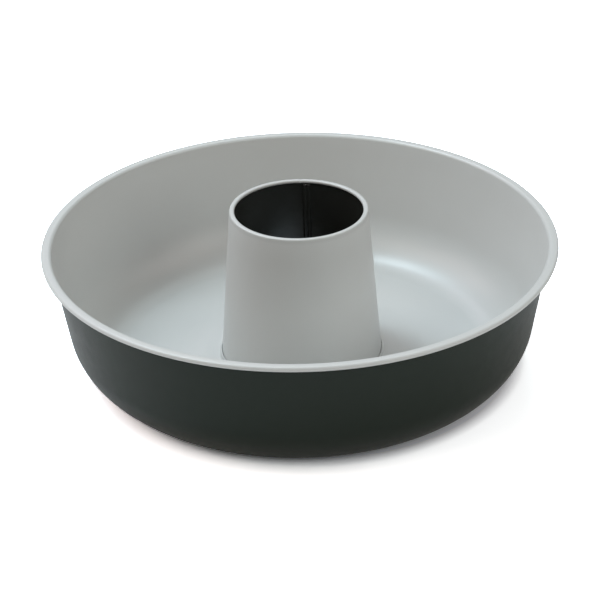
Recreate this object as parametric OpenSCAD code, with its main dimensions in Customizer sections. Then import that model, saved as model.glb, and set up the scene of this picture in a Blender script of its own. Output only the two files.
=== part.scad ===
// Ring cake pan with a fixed centre tube
// Two pressed sheets: the pan, and the tube that is clinched in the hole of its floor.
// The origin is in the middle of the base, on the surface that the pan stands on, +Z up.

/* [Pan] */
// Diameter over the rolled edge of the rim
rim_d = 272; // [240:1:300]
// Height from the table to the top of the rim
pan_h = 71; // [64:0.5:90]
// Thickness of the pan's sheet
pan_t = 0.7; // [0.5:0.05:0.9]
// Lean of the wall, in degrees from upright
wall_lean = 9; // [6:0.5:14]
// Outside radius of the upper corner between the wall and the floor
corner_r = 33; // [28:0.5:38]
// Outside radius of the lower corner, where the floor begins to rise
heel_r = 23; // [18:0.5:28]
// Slope that the lower corner ends at, in degrees from level
heel_slope = 33; // [25:1:45]

/* [Rim] */
// Radius on top of the bend between the wall and the flange
shoulder_r = 2; // [1.5:0.1:3]
// Width of the flat part of the flange
flange_flat = 2.2; // [1:0.1:5]
// Outside diameter of the rolled edge
roll_d = 2.6; // [2.4:0.1:3.4]
// How far the rolled edge turns, in degrees
roll_turn = 250; // [180:5:265]

/* [Centre tube] */
// Height from the table to the top of the tube
tube_h = 87.2; // [78:0.2:105]
// Outside diameter of the tube just under its top edge
tube_top_d = 73.2; // [60:0.2:80]
// Outside diameter of the tube where it meets the floor
tube_foot_d = 86.8; // [82:0.2:96]
// Thickness of the tube's sheet
tube_t = 0.6; // [0.4:0.05:0.75]
// Outside radius of the two bends of the tube's top edge
edge_r = 0.9; // [0.8:0.05:1.2]
// Width of the flat between the two bends of the top edge
edge_flat = 0.9; // [0.5:0.1:1.5]
// How far the second bend of the top edge turns, in degrees
edge_turn = 150; // [90:5:160]

/* [Lock seam] */
// Direction of the seam round the tube, in degrees from +X
seam_angle = 83; // [0:0.5:359]
// Width of the folded seam inside the tube
seam_w = 4.6; // [3:0.2:8]
// How far the folded seam stands in from the tube's wall
seam_rise = 1.1; // [0.6:0.1:1.4]
// Width of the line that the seam leaves on the outside
seam_line_w = 0.6; // [0.3:0.1:1]
// Depth of the line that the seam leaves on the outside
seam_line_depth = 0.2; // [0.1:0.05:0.3]

/* [Joint of tube and floor] */
// Height of the collar above the floor round it
collar_h = 2.4; // [2:0.1:4]
// Radius in the corner between the floor and the collar
collar_bend_r = 1.2; // [0.8:0.1:1.6]
// Clearance between the tube and the collar
collar_gap = 0.15; // [0.1:0.05:0.6]
// Width of the tube's foot flange under the floor
foot_flange_w = 4.2; // [3:0.1:6]
// Radius in the corner between the tube and its foot flange
foot_bend_r = 0.9; // [0.6:0.1:1.4]
// Clearance between the foot flange and the table
table_gap = 0.8; // [0.4:0.1:1.5]
// Diameter of the raised middle of the floor
plateau_d = 104; // [102:1:110]
// Slope of the step round the raised middle, in degrees
step_slope = 6; // [4:0.5:12]
// Radius of the two bends of the step
step_r = 20; // [10:1:30]

/* [Hidden] */
round_fn = 180;
chord_error = 0.015;
end_steps = 6;
trim = 1;

// Height of the underside of the raised middle: it clears the foot flange
rise = table_gap + tube_t;
// Height of the top of the raised middle
plateau_top = rise + pan_t;

// The tube's wall: its outer face as a line that leans inwards
foot_r = tube_foot_d / 2;
edge_z = tube_h - edge_r;
cone_lean = atan((foot_r - tube_top_d / 2) / (edge_z - plateau_top));
function cone_r(z) = foot_r - (z - plateau_top) * tan(cone_lean);

// A path of the middle of a sheet is a list of moves: ["line", length] or
// ["bend", radius, turn], where a left turn is positive. A state is [place, heading].
function unit(angle) = [cos(angle), sin(angle)];
function side(turn) = turn > 0 ? 90 : -90;
function centre_of(state, move) = state[0] + move[1] * unit(state[1] + side(move[2]));
function after(state, move) =
    move[0] == "line"
    ? [state[0] + move[1] * unit(state[1]), state[1]]
    : [centre_of(state, move) + move[1] * unit(state[1] + move[2] - side(move[2])), state[1] + move[2]];
function state_at(state, moves, count) =
    count == 0 ? state : after(state_at(state, moves, count - 1), moves[count - 1]);

// A bend is drawn in steps whose chords stay within chord_error of the arc
function steps_of(move) = move[0] == "line" ? 1 : ceil(abs(move[2]) / (2 * acos(1 - chord_error / move[1])));
function part_of(move, share) = move[0] == "line" ? ["line", move[1] * share] : ["bend", move[1], move[2] * share];

// One face of the sheet: the points of its path, each moved sideways by offset
function face(start, moves, offset) = [
    for (i = [0:len(moves) - 1])
        let (state = state_at(start, moves, i), steps = steps_of(moves[i]))
            for (k = [(i == 0 ? 0 : 1):steps])
                let (spot = after(state, part_of(moves[i], k / steps)))
                    spot[0] + offset * unit(spot[1] + 90)
];

// The rounded edge of the sheet at a state, from the right side of its heading to the left
function rounded_end(state, t) = [
    for (k = [1:end_steps - 1])
        state[0] + t / 2 * unit(state[1] - 90 + 180 * k / end_steps)
];
function turned_back(state) = [state[0], state[1] + 180];
function reversed(list) = [for (i = [len(list) - 1:-1:0]) list[i]];

// The section of a bent sheet along its path
module sheet(start, moves, t) {
    finish = state_at(start, moves, len(moves));
    polygon(concat(
        face(start, moves, -t / 2),
        rounded_end(finish, t),
        reversed(face(start, moves, t / 2)),
        rounded_end(turned_back(start), t)
    ));
}

// Pan: radii of the middle of its sheet at each bend
heel_m = heel_r - pan_t / 2;
corner_m = corner_r - pan_t / 2;
shoulder_m = shoulder_r - pan_t / 2;
roll_m = (roll_d - pan_t) / 2;
collar_m = collar_bend_r + pan_t / 2;
wall_slope = 90 - wall_lean;

// Rim, worked from the outer edge inwards and from the top down
roll_centre_r = (rim_d - roll_d) / 2;
flange_start_r = roll_centre_r - flange_flat;
wall_top_r = flange_start_r - shoulder_m * sin(wall_slope);
wall_top_z = pan_h - pan_t / 2 - shoulder_m * (1 - cos(wall_slope));

// Wall and corners, worked from the base up
heel_top_z = pan_t / 2 + heel_m * (1 - cos(heel_slope));
corner_top_z = heel_top_z + corner_m * (cos(heel_slope) - cos(wall_slope));
wall_length = (wall_top_z - corner_top_z) / sin(wall_slope);
corner_start_r = wall_top_r - wall_length * cos(wall_slope) - corner_m * (sin(wall_slope) - sin(heel_slope));
base_r = corner_start_r - heel_m * sin(heel_slope);

// Floor, worked from the collar outwards
step_rise = rise - 2 * step_r * (1 - cos(step_slope));
step_length = step_rise / sin(step_slope);
step_width = 2 * step_r * sin(step_slope) + step_length * cos(step_slope);

// Collar: its inner face lies beside the tube's cone at the named clearance
collar_top_z = plateau_top + collar_h - pan_t / 2;
collar_middle = collar_gap + pan_t / 2;
collar_top_r = cone_r(collar_top_z) + collar_middle / cos(cone_lean);
collar_bend_z = rise + pan_t / 2 + collar_m * (1 - sin(cone_lean));
collar_length = (collar_top_z - collar_bend_z) / cos(cone_lean);
collar_end_r = collar_top_r + collar_length * sin(cone_lean) + collar_m * cos(cone_lean);

pan_start = [[collar_top_r, collar_top_z], cone_lean - 90];
pan_moves = [
    ["line", collar_length],
    ["bend", collar_m, 90 - cone_lean],
    ["line", plateau_d / 2 - collar_end_r],
    ["bend", step_r, -step_slope],
    ["line", step_length],
    ["bend", step_r, step_slope],
    ["line", base_r - plateau_d / 2 - step_width],
    ["bend", heel_m, heel_slope],
    ["bend", corner_m, wall_slope - heel_slope],
    ["line", wall_length],
    ["bend", shoulder_m, -wall_slope],
    ["line", flange_flat],
    ["bend", roll_m, -roll_turn]
];

// Tube: its path runs in along the foot flange, up the cone and over the top edge
foot_m = foot_bend_r + tube_t / 2;
edge_m = edge_r - tube_t / 2;
flange_z = rise - tube_t / 2;
cone_start_z = flange_z + foot_m * (1 - sin(cone_lean));
cone_start_r = cone_r(cone_start_z) - tube_t / 2 / cos(cone_lean);
flange_in_r = cone_start_r + foot_m * cos(cone_lean);
flange_out_r = foot_r + foot_flange_w;
cone_length = (edge_z + edge_m * sin(cone_lean) - cone_start_z) / cos(cone_lean);

tube_start = [[flange_out_r, flange_z], 180];
tube_moves = [
    ["line", flange_out_r - flange_in_r],
    ["bend", foot_m, cone_lean - 90],
    ["line", cone_length],
    ["bend", edge_m, 90 - cone_lean],
    ["line", edge_flat],
    ["bend", edge_m, edge_turn]
];

// A sheet-like cone between two offsets from the tube's outer face, positive inwards
module cone_layer(low, high, from, to) {
    rotate_extrude($fn = round_fn)
        polygon([
            [cone_r(low) - to, low],
            [cone_r(low) - from, low],
            [cone_r(high) - from, high],
            [cone_r(high) - to, high]
        ]);
}

// A slice of the tube round one direction, for what runs along its slope
module slice_at(angle, width) {
    rotate(angle) translate([0, -width / 2, 0]) cube([foot_r + trim, width, tube_h]);
}

// Folded seam inside the tube, from above the foot bend to under the top edge
module lock_seam() {
    seam_low = cone_start_z + seam_w / 2;
    seam_high = tube_h - 2 * edge_r - tube_t;
    intersection() {
        cone_layer(seam_low, seam_high, tube_t / 2, tube_t + seam_rise);
        slice_at(seam_angle, seam_w);
    }
}

// Line that the seam leaves on the outside, along the fold's left edge
module seam_line() {
    line_low = plateau_top + collar_h + trim;
    line_high = edge_z - edge_r;
    rotate(asin((seam_w - seam_line_w) / 2 / foot_r)) intersection() {
        cone_layer(line_low, line_high, -trim, seam_line_depth);
        slice_at(seam_angle, seam_line_w);
    }
}

module pan_shell() {
    color([0.17, 0.19, 0.18])
        rotate_extrude($fn = round_fn) sheet(pan_start, pan_moves, pan_t);
}

module centre_tube() {
    color([0.72, 0.73, 0.72])
        difference() {
            union() {
                rotate_extrude($fn = round_fn) sheet(tube_start, tube_moves, tube_t);
                lock_seam();
            }
            seam_line();
        }
}

pan_shell();
centre_tube();
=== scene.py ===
from math import atan2, cos, hypot, pi, radians, sin, tan

import bmesh
import bpy
from mathutils import Matrix, Vector


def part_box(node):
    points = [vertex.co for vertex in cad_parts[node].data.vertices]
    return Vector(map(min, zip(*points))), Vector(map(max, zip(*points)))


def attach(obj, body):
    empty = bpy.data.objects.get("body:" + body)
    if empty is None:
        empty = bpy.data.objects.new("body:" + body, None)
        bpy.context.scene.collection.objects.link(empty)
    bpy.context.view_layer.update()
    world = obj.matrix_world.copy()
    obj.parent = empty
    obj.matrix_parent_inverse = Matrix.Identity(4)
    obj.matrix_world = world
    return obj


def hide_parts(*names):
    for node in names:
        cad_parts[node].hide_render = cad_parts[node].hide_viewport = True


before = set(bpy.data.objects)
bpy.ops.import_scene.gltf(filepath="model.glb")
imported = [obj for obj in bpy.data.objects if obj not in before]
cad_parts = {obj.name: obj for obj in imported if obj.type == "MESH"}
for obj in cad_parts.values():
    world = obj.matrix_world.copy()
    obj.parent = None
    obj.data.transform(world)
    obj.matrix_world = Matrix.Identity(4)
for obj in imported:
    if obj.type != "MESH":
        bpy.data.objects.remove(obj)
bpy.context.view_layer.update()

scene = bpy.context.scene
bodyName = "root"

# All lengths are in metres. The pan stands on z = 0 with the tube's axis on Z.
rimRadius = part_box("pan_shell")[1].x
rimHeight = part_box("pan_shell")[1].z
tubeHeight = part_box("centre_tube")[1].z


# A profile is drawn in the XZ plane with a pen: straight runs are extruded, bends are spun.

def penAt(bm, radius, height, heading):
    tip = bmesh.ops.create_vert(bm, co=(radius, 0, height))["vert"][0]
    return {"bm": bm, "tip": tip, "heading": heading}


def drawLine(pen, length, pieces):
    step = Vector((cos(pen["heading"]), 0, sin(pen["heading"]))) * (length / pieces)
    for piece in range(pieces):
        pen["tip"] = bmesh.ops.extrude_vert_indiv(pen["bm"], verts=[pen["tip"]])["verts"][0]
        bmesh.ops.translate(pen["bm"], verts=[pen["tip"]], vec=step)


def drawBend(pen, radius, turn, steps):  # a positive turn bears left
    side = pen["heading"] + (pi / 2 if turn > 0 else -pi / 2)
    centre = pen["tip"].co + Vector((cos(side), 0, sin(side))) * radius
    spun = bmesh.ops.spin(
        pen["bm"], geom=[pen["tip"]], cent=centre, axis=(0, -1, 0), angle=turn, steps=steps)
    pen["tip"] = [part for part in spun["geom_last"] if isinstance(part, bmesh.types.BMVert)][0]
    pen["heading"] += turn


def drawPath(pen, moves, offset):  # one face of a sheet, offset to the left of its middle
    for kind, *measures in moves:
        if kind == "line":
            drawLine(pen, *measures)
        else:
            radius, turn, steps = measures
            drawBend(pen, radius - offset if turn > 0 else radius + offset, turn, steps)


def turnedBack(moves):  # the same path, drawn from its other end
    back = []
    for kind, *measures in reversed(moves):
        if kind == "bend":
            radius, turn, steps = measures
            measures = (radius, -turn, steps)
        back.append((kind, *measures))
    return back


def turnedCopy(bm, geom, angle):
    copy = bmesh.ops.duplicate(bm, geom=geom)["geom"]
    verts = [part for part in copy if isinstance(part, bmesh.types.BMVert)]
    bmesh.ops.rotate(bm, verts=verts, cent=(0, 0, 0), matrix=Matrix.Rotation(angle, 3, "Z"))
    return copy


def spinRound(bm, edges, slot, sectors, steps, fineSector, fineSteps):
    # one sector is spun and then copied round; the fine sector, if any, is spun in finer steps
    before = set(bm.faces)
    sector = 2 * pi / sectors
    around = {"cent": (0, 0, 0), "axis": (0, 0, 1), "angle": sector}
    profile = [*{vert for edge in edges for vert in edge.verts}, *edges]
    if fineSector:
        turned = turnedCopy(bm, profile, fineSector * sector)
        bmesh.ops.spin(bm, geom=turned, steps=fineSteps, **around)
    kept = set(bm.faces)
    bmesh.ops.spin(bm, geom=profile, steps=steps, **around)
    spun = list(set(bm.faces) - kept)
    edgesOfSpun = {edge for face in spun for edge in face.edges}
    vertsOfSpun = {vert for face in spun for vert in face.verts}
    spun += [*edgesOfSpun, *vertsOfSpun]
    for number in range(1, sectors):
        if number != fineSector:
            turnedCopy(bm, spun, number * sector)
    for face in set(bm.faces) - before:
        face.material_index = slot


def sheetMesh(start, moves, settings, leftSlot, rightSlot):
    # both faces of a bent sheet, each with its own coat; the left one's runs over the rounded ends
    bm = bmesh.new()
    radius, height, heading = start
    thickness = settings["sheet"]
    across = Vector((cos(heading + pi / 2), 0, sin(heading + pi / 2))) * (thickness / 2)
    pen = penAt(bm, radius + across.x, height + across.z, heading)
    drawPath(pen, moves, thickness / 2)
    drawBend(pen, thickness / 2, -pi, settings["endSteps"])
    leftEdges = set(bm.edges)
    drawPath(pen, turnedBack(moves), thickness / 2)
    rightEdges = set(bm.edges) - leftEdges
    drawBend(pen, thickness / 2, -pi, settings["endSteps"])
    for edges, slot in ((set(bm.edges) - rightEdges, leftSlot), (rightEdges, rightSlot)):
        spinRound(bm, edges, slot, *settings["around"])
    bmesh.ops.remove_doubles(bm, verts=bm.verts, dist=settings["mergeDistance"])
    bmesh.ops.recalc_face_normals(bm, faces=bm.faces)
    # the operators leave the faces in an order of their own, so it is set: the same in each run
    ordered = sorted(bm.faces, key=lambda face: tuple(face.calc_center_median()))
    numbers = {face: number for number, face in enumerate(ordered)}
    bm.faces.sort(key=numbers.get)
    return bm


def finishPiece(bm, name, materials, slotName, *nodes):
    mesh = bpy.data.meshes.new(name)
    for face in bm.faces:
        face.smooth = True
    bm.to_mesh(mesh)
    bm.free()
    piece = bpy.data.objects.new(name, mesh)
    scene.collection.objects.link(piece)
    for material in materials:
        mesh.materials.append(material)
    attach(piece, bodyName)
    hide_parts(*nodes)
    print("made", name, len(mesh.polygons), "faces")


def newGroup(name, inputs, outputs):
    group = bpy.data.node_groups.new(name, "ShaderNodeTree")
    for label, value in inputs.items():
        socket = group.interface.new_socket(label, in_out="INPUT", socket_type="NodeSocketFloat")
        socket.default_value = value
    for label in outputs:
        group.interface.new_socket(label, in_out="OUTPUT", socket_type="NodeSocketFloat")
    return group, group.nodes.new("NodeGroupInput"), group.nodes.new("NodeGroupOutput")


def addMath(tree, operation, first, second=0):
    node = tree.nodes.new("ShaderNodeMath")
    node.operation = operation
    for socket, value in zip(node.inputs, (first, second)):
        if hasattr(value, "is_output"):
            tree.links.new(value, socket)
        else:
            socket.default_value = value
    return node.outputs[0]


def addNoise(tree, vector, scale, detail, roughness):
    node = tree.nodes.new("ShaderNodeTexNoise")
    node.inputs["Detail"].default_value = detail
    node.inputs["Roughness"].default_value = roughness
    tree.links.new(vector, node.inputs["Vector"])
    if hasattr(scale, "is_output"):
        tree.links.new(scale, node.inputs["Scale"])
    else:
        node.inputs["Scale"].default_value = scale
    return node.outputs["Fac"]


def addRange(tree, value, low, high, toLow, toHigh):
    node = tree.nodes.new("ShaderNodeMapRange")
    tree.links.new(value, node.inputs["Value"])
    spans = {"From Min": low, "From Max": high, "To Min": toLow, "To Max": toHigh}
    for label, number in spans.items():
        node.inputs[label].default_value = number
    return node.outputs["Result"]


def addBlend(tree, factor, first, second):
    node = tree.nodes.new("ShaderNodeMix")
    node.data_type = "RGBA"
    tree.links.new(factor, node.inputs["Factor"])
    for label, value in (("A", first), ("B", second)):
        if hasattr(value, "is_output"):
            tree.links.new(value, node.inputs[label])
        else:
            node.inputs[label].default_value = (*value, 1)
    return node.outputs["Result"]


# the baked-on coat: noise detail and roughness of each layer, and its share in what the group gives
coatLook = {
    "grain": (3, 0.6), "drift": (2, 0.5), "mottle": (4, 0.55), "mottleScale": 160,
    "mottleInHeight": 0.35, "driftInTone": 0.8, "grainInTone": 0.2,
    "mottleInGloss": 0.6, "driftInGloss": 0.4,
}


def makeCoatGroup():
    # a fine even grain, a slow drift of tone and a patchy gloss
    group, given, result = newGroup(
        "bakedCoat", {"grain scale": 1400, "drift scale": 9}, ["height", "tone", "gloss"])
    place = group.nodes.new("ShaderNodeTexCoord").outputs["Object"]
    grain = addNoise(group, place, given.outputs["grain scale"], *coatLook["grain"])
    drift = addNoise(group, place, given.outputs["drift scale"], *coatLook["drift"])
    mottle = addNoise(group, place, coatLook["mottleScale"], *coatLook["mottle"])

    def part(layer, share):
        return addMath(group, "MULTIPLY", layer, coatLook[share])

    blends = {
        "height": (grain, part(mottle, "mottleInHeight")),
        "tone": (part(drift, "driftInTone"), part(grain, "grainInTone")),
        "gloss": (part(mottle, "mottleInGloss"), part(drift, "driftInGloss")),
    }
    for label, (first, second) in blends.items():
        group.links.new(addMath(group, "ADD", first, second), result.inputs[label])
    return group


# the rubbed edge: the noise that makes its border ragged, and where that border fades out
edgeLook = {"noiseScale": 420, "noise": (3, 0.6), "raggedness": 0.3, "fadeFrom": 0.8, "fadeTo": 1.2}


def makeEdgeGroup():
    # the coat thins where the sheet bends round a rim: 1 on the ring, 0 past its reach
    group, given, result = newGroup(
        "thinEdge", {"ring radius": 0.1, "ring height": 0.1, "reach": 0.005}, ["mask"])
    place = group.nodes.new("ShaderNodeTexCoord").outputs["Object"]
    axes = group.nodes.new("ShaderNodeSeparateXYZ")
    group.links.new(place, axes.inputs[0])

    def length(first, second):
        squares = [addMath(group, "MULTIPLY", side, side) for side in (first, second)]
        return addMath(group, "SQRT", addMath(group, "ADD", *squares))

    radius = length(axes.outputs["X"], axes.outputs["Y"])
    across = addMath(group, "SUBTRACT", radius, given.outputs["ring radius"])
    above = addMath(group, "SUBTRACT", axes.outputs["Z"], given.outputs["ring height"])
    share = addMath(group, "DIVIDE", length(across, above), given.outputs["reach"])
    noise = addNoise(group, place, edgeLook["noiseScale"], *edgeLook["noise"])
    ragged = addMath(group, "ADD", share, addMath(group, "MULTIPLY", noise, edgeLook["raggedness"]))
    mask = addRange(group, ragged, edgeLook["fadeFrom"], edgeLook["fadeTo"], 1, 0)
    group.links.new(mask, result.inputs["mask"])
    return group


def makeCoat(name, settings):
    material = bpy.data.materials.new(name)
    material.use_nodes = True
    tree = material.node_tree
    shader = tree.nodes["Principled BSDF"]
    coat = tree.nodes.new("ShaderNodeGroup")
    coat.node_tree = coatGroup
    coat.inputs["grain scale"].default_value = settings["grainScale"]
    edge = tree.nodes.new("ShaderNodeGroup")
    edge.node_tree = edgeGroup
    for label, value in zip(("ring radius", "ring height", "reach"), settings["edge"]):
        edge.inputs[label].default_value = value
    toneShare = addRange(tree, coat.outputs["tone"], *noiseSpan, 0, 1)
    colour = addBlend(tree, toneShare, settings["dark"], settings["light"])
    colour = addBlend(tree, edge.outputs["mask"], colour, settings["edgeColour"])
    tree.links.new(colour, shader.inputs["Base Color"])
    patchy = addRange(tree, coat.outputs["gloss"], *noiseSpan, *settings["roughness"])
    rubbed = addMath(tree, "MULTIPLY", edge.outputs["mask"], settings["edgeRoughness"])
    tree.links.new(addMath(tree, "ADD", patchy, rubbed), shader.inputs["Roughness"])
    bump = tree.nodes.new("ShaderNodeBump")
    bump.inputs["Strength"].default_value = settings["bumpStrength"]
    bump.inputs["Distance"].default_value = settings["bumpDepth"]
    tree.links.new(coat.outputs["height"], bump.inputs["Height"])
    tree.links.new(bump.outputs["Normal"], shader.inputs["Normal"])
    shader.inputs["Specular IOR Level"].default_value = settings["specular"]
    return material


coatGroup = makeCoatGroup()
edgeGroup = makeEdgeGroup()
noiseSpan = (0.3, 0.7)  # the noise rarely leaves this span, which is stretched over the whole range

# in each coat, edge is the ring that it thins round: radius, height and reach
evenGrain = {"grainScale": 1400, "bumpStrength": 0.12, "bumpDepth": 0.0003}
greyCoat = {
    **evenGrain,
    "dark": (0.47, 0.48, 0.47), "light": (0.50, 0.51, 0.50),
    "roughness": (0.30, 0.37), "specular": 0.5,
    "edgeColour": (0.445, 0.455, 0.447), "edgeRoughness": 0.04,
}
panCoat = makeCoat("lightGreyPanCoat", {**greyCoat, "edge": (0.1338, 0.0705, 0.0035)})
tubeCoat = makeCoat("lightGreyTubeCoat", {**greyCoat, "edge": (0.0355, 0.0868, 0.0030)})
darkCoat = makeCoat("darkGreenGreyCoat", {
    **evenGrain,
    "dark": (0.0075, 0.0135, 0.0095), "light": (0.0110, 0.0165, 0.0125),
    "roughness": (0.36, 0.44), "specular": 0.17,
    "edge": (0.0850, -0.0020, 0.0140), "edgeColour": (0.020, 0.022, 0.021), "edgeRoughness": 0.08,
})
blackCoat = makeCoat("blackInnerCoat", {
    **evenGrain, "bumpStrength": 0.05,
    "dark": (0.018, 0.020, 0.018), "light": (0.022, 0.024, 0.022),
    "roughness": (0.19, 0.23), "specular": 0.9,
    "edge": (0.0345, 0.0858, 0.0020), "edgeColour": (0.040, 0.042, 0.040), "edgeRoughness": 0.04,
})
print("materials are ready")

pan = {
    "sheet": 0.0007, "mergeDistance": 0.000014,
    "wallLean": radians(9), "cornerRadius": 0.033, "heelRadius": 0.023, "heelSlope": radians(33),
    "shoulderRadius": 0.002, "flangeFlat": 0.0022, "rollDiameter": 0.0026, "rollTurn": radians(250),
    "plateauRadius": 0.052, "plateauRise": 0.0014, "stepSlope": radians(6), "stepRadius": 0.020,
    "collarHeight": 0.0024, "collarBend": 0.0012, "collarGap": 0.00015,
    # how many pieces the lines and bends are drawn in
    "collarSteps": 10, "plateauPieces": 2, "stepSteps": 3, "floorPieces": 4, "heelSteps": 12,
    "cornerSteps": 16, "wallPieces": 6, "shoulderSteps": 8, "rollSteps": 20, "endSteps": 6,
    "around": (32, 9, None, 0),  # sectors, steps in each, the fine sector and its steps
}
tube = {
    "sheet": 0.0006, "mergeDistance": 0.000012,
    "topRadius": 0.0366, "footRadius": 0.0434,
    "edgeRadius": 0.0009, "edgeFlat": 0.0009, "edgeTurn": radians(150),
    "footFlange": 0.0042, "footBend": 0.0009,
    "seamAngle": radians(83), "seamWidth": 0.0046, "seamRise": 0.0011,
    "seamFlank": 0.0007, "seamEnd": 0.0008,
    "creaseWidth": 0.0013, "creaseDepth": 0.0004,
    "lineWidth": 0.0006, "lineDepth": 0.0002, "lineClear": 0.001,
    "nickAngle": radians(88.2), "nickWidth": 0.0016, "nickDepth": 0.00022,
    "flangePieces": 2, "footSteps": 8, "edgeSteps": 8, "curlSteps": 14, "endSteps": 6,
    # the cone is drawn in short pieces over a run at its foot and its top, where the seam ends
    "endRun": 0.005, "lowPieces": 8, "conePieces": 10, "highPieces": 14,
    "around": (32, 7, 7, 56),
}

plateauTop = pan["plateauRise"] + pan["sheet"]
coneTop = tubeHeight - tube["edgeRadius"]
coneLean = atan2(tube["footRadius"] - tube["topRadius"], coneTop - plateauTop)


def coneRadius(height):  # outer face of the tube
    return tube["footRadius"] - (height - plateauTop) * tan(coneLean)


def panMoves():
    half = pan["sheet"] / 2
    heel, corner = pan["heelRadius"] - half, pan["cornerRadius"] - half
    shoulder, roll = pan["shoulderRadius"] - half, pan["rollDiameter"] / 2 - half
    collar, step = pan["collarBend"] + half, pan["stepRadius"]
    wallSlope, heelSlope, stepSlope = pi / 2 - pan["wallLean"], pan["heelSlope"], pan["stepSlope"]
    # rim, from the outer edge inwards
    flangeStart = rimRadius - pan["rollDiameter"] / 2 - pan["flangeFlat"]
    wallTopRadius = flangeStart - shoulder * sin(wallSlope)
    wallTop = rimHeight - half - shoulder * (1 - cos(wallSlope))
    # wall and corners, from the base up
    heelTop = half + heel * (1 - cos(heelSlope))
    cornerTop = heelTop + corner * (cos(heelSlope) - cos(wallSlope))
    wallLength = (wallTop - cornerTop) / sin(wallSlope)
    cornerWidth = corner * (sin(wallSlope) - sin(heelSlope))
    baseRadius = wallTopRadius - wallLength * cos(wallSlope) - cornerWidth - heel * sin(heelSlope)
    # floor, from the collar outwards
    stepLength = (pan["plateauRise"] - 2 * step * (1 - cos(stepSlope))) / sin(stepSlope)
    stepWidth = 2 * step * sin(stepSlope) + stepLength * cos(stepSlope)
    collarTop = plateauTop + pan["collarHeight"] - half
    collarRadius = coneRadius(collarTop) + (pan["collarGap"] + half) / cos(coneLean)
    collarFoot = pan["plateauRise"] + half + collar * (1 - sin(coneLean))
    collarLength = (collarTop - collarFoot) / cos(coneLean)
    collarEnd = collarRadius + collarLength * sin(coneLean) + collar * cos(coneLean)
    start = (collarRadius, collarTop, coneLean - pi / 2)
    return start, [
        ("line", collarLength, 1),
        ("bend", collar, pi / 2 - coneLean, pan["collarSteps"]),
        ("line", pan["plateauRadius"] - collarEnd, pan["plateauPieces"]),
        ("bend", step, -stepSlope, pan["stepSteps"]),
        ("line", stepLength, 1),
        ("bend", step, stepSlope, pan["stepSteps"]),
        ("line", baseRadius - pan["plateauRadius"] - stepWidth, pan["floorPieces"]),
        ("bend", heel, heelSlope, pan["heelSteps"]),
        ("bend", corner, wallSlope - heelSlope, pan["cornerSteps"]),
        ("line", wallLength, pan["wallPieces"]),
        ("bend", shoulder, -wallSlope, pan["shoulderSteps"]),
        ("line", pan["flangeFlat"], 1),
        ("bend", roll, -pan["rollTurn"], pan["rollSteps"]),
    ]


def tubeMoves():
    half = tube["sheet"] / 2
    foot, edge = tube["footBend"] + half, tube["edgeRadius"] - half
    flangeHeight = pan["plateauRise"] - half
    coneStart = flangeHeight + foot * (1 - sin(coneLean))
    coneStartRadius = coneRadius(coneStart) - half / cos(coneLean)
    flangeIn = coneStartRadius + foot * cos(coneLean)
    flangeOut = tube["footRadius"] + tube["footFlange"]
    coneLength = (coneTop + edge * sin(coneLean) - coneStart) / cos(coneLean)
    endRun = tube["endRun"]
    start = (flangeOut, flangeHeight, pi)
    return start, [
        ("line", flangeOut - flangeIn, tube["flangePieces"]),
        ("bend", foot, coneLean - pi / 2, tube["footSteps"]),
        ("line", endRun, tube["lowPieces"]),
        ("line", coneLength - 2 * endRun, tube["conePieces"]),
        ("line", endRun, tube["highPieces"]),
        ("bend", edge, pi / 2 - coneLean, tube["edgeSteps"]),
        ("line", tube["edgeFlat"], 1),
        ("bend", edge, tube["edgeTurn"], tube["curlSteps"]),
    ]


def fade(distance, reach, soft):  # 1 up to the reach, less the soft run in which it falls to 0
    share = min(max((reach - abs(distance)) / soft, 0), 1)
    return share * share * (3 - 2 * share)


def strip(distance, width):  # 1 in the middle of a strip, 0 at its sides
    return fade(distance, width / 2, width / 2)


def between(height, low, high):  # 1 along the seam, 0 at its ends
    return fade(height - (low + high) / 2, (high - low) / 2, tube["seamEnd"])


def shapeSeam(bm):
    # the fold stands in from the wall with a crease along it, a line marks it outside,
    # and the ends of the sheet meet in a nick across the top edge
    foldLow = pan["plateauRise"] + tube["footBend"] + tube["seamWidth"] / 2
    foldHigh = tubeHeight - 2 * tube["edgeRadius"] - tube["sheet"]
    lineLow = plateauTop + pan["collarHeight"] + tube["lineClear"]
    lineHigh = coneTop - tube["edgeRadius"]
    lineShift = (tube["seamWidth"] - tube["lineWidth"]) / 2
    lineAngle = tube["seamAngle"] + lineShift / tube["footRadius"]
    bm.normal_update()
    shifts = []
    for vert in bm.verts:
        radius, angle, height = hypot(vert.co.x, vert.co.y), atan2(vert.co.y, vert.co.x), vert.co.z
        depthInSheet = (coneRadius(height) - radius) * cos(coneLean)
        if height > coneTop:
            across = (angle - tube["nickAngle"]) * radius
            shift = -tube["nickDepth"] * strip(across, tube["nickWidth"])
        elif depthInSheet > tube["sheet"] / 2:
            across = (angle - tube["seamAngle"]) * radius
            ridge = tube["seamRise"] * fade(across, tube["seamWidth"] / 2, tube["seamFlank"])
            crease = tube["creaseDepth"] * strip(across, tube["creaseWidth"])
            shift = (ridge - crease) * between(height, foldLow, foldHigh)
        else:
            across = (angle - lineAngle) * radius
            groove = tube["lineDepth"] * strip(across, tube["lineWidth"])
            shift = -groove * between(height, lineLow, lineHigh)
        if shift:
            shifts.append((vert, vert.normal * shift))
    for vert, move in shifts:
        vert.co += move


start, moves = panMoves()
panBm = sheetMesh(start, moves, pan, 0, 1)
finishPiece(panBm, "panShell", [panCoat, darkCoat], "dark_outer_coat", "pan_shell")

start, moves = tubeMoves()
tubeBm = sheetMesh(start, moves, tube, 1, 0)
shapeSeam(tubeBm)
finishPiece(tubeBm, "centreTube", [tubeCoat, blackCoat], "grey_inner_coat", "centre_tube")

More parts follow.
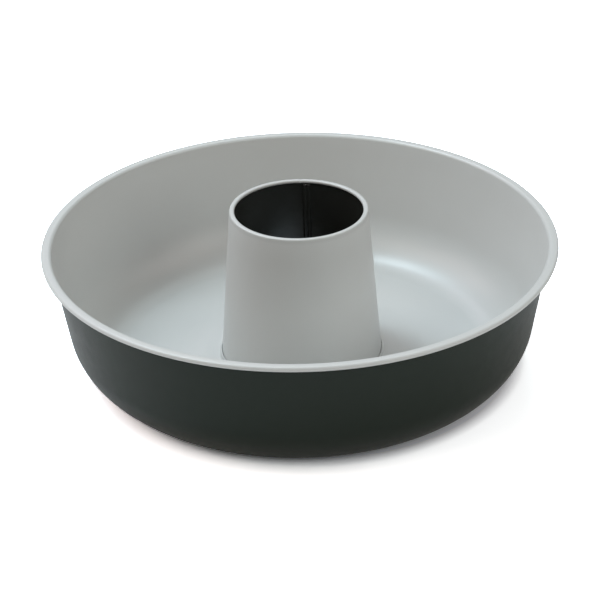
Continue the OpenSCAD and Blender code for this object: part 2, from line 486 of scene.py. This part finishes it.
studio = {
    "floorSize": 6, "floorColour": (0.86, 0.86, 0.86), "floorRoughness": 0.9,
    # painted shadow and painted light: for the camera the floor's colour is kept low round an
    # off-centre point near the pan, which paints the contact shadow, and past the burnt radius it
    # is raised far above white, which burns the floor out to white
    "shadowColour": (0.91, 0.93, 0.99), "burntColour": (2.42, 2.50, 2.60),
    "shadowCentre": (0.0074, 0.0015, 0), "shadowRadius": 0.1067, "burntRadius": 0.1145,
    "worldColour": (1, 0.977, 0.950), "worldStrength": 0.220, "lampDistance": 2.2,
}
# each softbox: azimuth and elevation in degrees, width and height in metres, watts, colour
softboxes = {
    "keyCore": (152, 66, 0.45, 0.45, 14.0, (0.800, 0.930, 1)),
    "keyBehind": (150, 60, 1, 1, 13.9, (0.645, 0.890, 1)),
    "fillBehind": (80, 58, 1, 1, 7.9, (0.882, 0.994, 1)),
    "keyWide": (112, 50, 1.2, 1.2, 9.7, (0.979, 0.909, 1)),
    "sideLeft": (165, 32, 1.5, 1.2, 12.6, (1, 0.871, 0.868)),
    "sideLeftFront": (200, 45, 1.3, 1.1, 9.3, (1, 0.864, 0.775)),
    "fillFront": (315, 28, 1.2, 0.9, 9.8, (0.981, 1, 0.963)),
    "sideRight": (350, 40, 1.5, 1.2, 9.2, (1, 0.929, 0.893)),
    "fillFrontLow": (280, 35, 1.5, 1.2, 3.8, (1, 0.963, 0.906)),
}
camera = {
    "elevation": radians(28.885), "roll": radians(-1.2965), "distance": 1.0169, "focalPixels": 1890,
    "target": (-0.00045, 0, 0.03233), "sensor": 36, "framePixels": 600,
}


def makeFloor():
    bm = bmesh.new()
    bmesh.ops.create_grid(bm, x_segments=1, y_segments=1, size=studio["floorSize"] / 2)
    mesh = bpy.data.meshes.new("floor")
    bm.to_mesh(mesh)
    bm.free()
    floor = bpy.data.objects.new("floor", mesh)
    scene.collection.objects.link(floor)
    material = bpy.data.materials.new("paleFloor")
    material.use_nodes = True
    tree = material.node_tree
    shader = tree.nodes["Principled BSDF"]
    shader.inputs["Roughness"].default_value = studio["floorRoughness"]
    shader.inputs["Specular IOR Level"].default_value = 0
    place = tree.nodes.new("ShaderNodeTexCoord").outputs["Object"]
    radius = tree.nodes.new("ShaderNodeVectorMath")
    radius.operation = "DISTANCE"
    tree.links.new(place, radius.inputs[0])
    radius.inputs[1].default_value = studio["shadowCentre"]
    rings = (studio["shadowRadius"], studio["burntRadius"])
    # painted shadow: the floor's colour is low near the shadow centre and rises to far above white
    # past the burnt radius
    burnt = addRange(tree, radius.outputs["Value"], *rings, 0, 1)
    paintedShadowAndGlow = addBlend(tree, burnt, studio["shadowColour"], studio["burntColour"])
    fromCamera = tree.nodes.new("ShaderNodeLightPath").outputs["Is Camera Ray"]
    seen = addBlend(tree, fromCamera, studio["floorColour"], paintedShadowAndGlow)
    tree.links.new(seen, shader.inputs["Base Color"])
    mesh.materials.append(material)


def direction(azimuth, elevation):
    return Vector((cos(elevation) * cos(azimuth), cos(elevation) * sin(azimuth), sin(elevation)))


def makeLights():
    world = bpy.data.worlds.new("studioAir")
    world.use_nodes = True
    air = world.node_tree.nodes["Background"]
    air.inputs["Color"].default_value = (*studio["worldColour"], 1)
    air.inputs["Strength"].default_value = studio["worldStrength"]
    scene.world = world
    for name, (azimuth, elevation, width, depth, power, colour) in softboxes.items():
        lamp = bpy.data.lights.new(name, "AREA")
        lamp.shape = "ELLIPSE" if width == depth else "RECTANGLE"
        lamp.size, lamp.size_y = width, depth
        lamp.energy = power
        lamp.color = colour
        softbox = bpy.data.objects.new(name, lamp)
        towards = direction(radians(azimuth), radians(elevation))
        softbox.location = towards * studio["lampDistance"]
        softbox.rotation_euler = towards.to_track_quat("Z", "Y").to_euler()
        scene.collection.objects.link(softbox)


def makeCamera():
    lens = bpy.data.cameras.new("camera")
    lens.sensor_width = camera["sensor"]
    lens.lens = camera["focalPixels"] / camera["framePixels"] * camera["sensor"]
    view = bpy.data.objects.new("camera", lens)
    back = Vector((0, -cos(camera["elevation"]), sin(camera["elevation"]))) * camera["distance"]
    view.matrix_world = (Matrix.Translation(Vector(camera["target"]) + back)
                         @ Matrix.Rotation(pi / 2 - camera["elevation"], 4, "X")
                         @ Matrix.Rotation(camera["roll"], 4, "Z"))
    scene.collection.objects.link(view)
    scene.camera = view


makeFloor()
makeLights()
makeCamera()
scene.view_settings.view_transform = "Standard"
print("studio is ready")

bpy.context.view_layer.update()
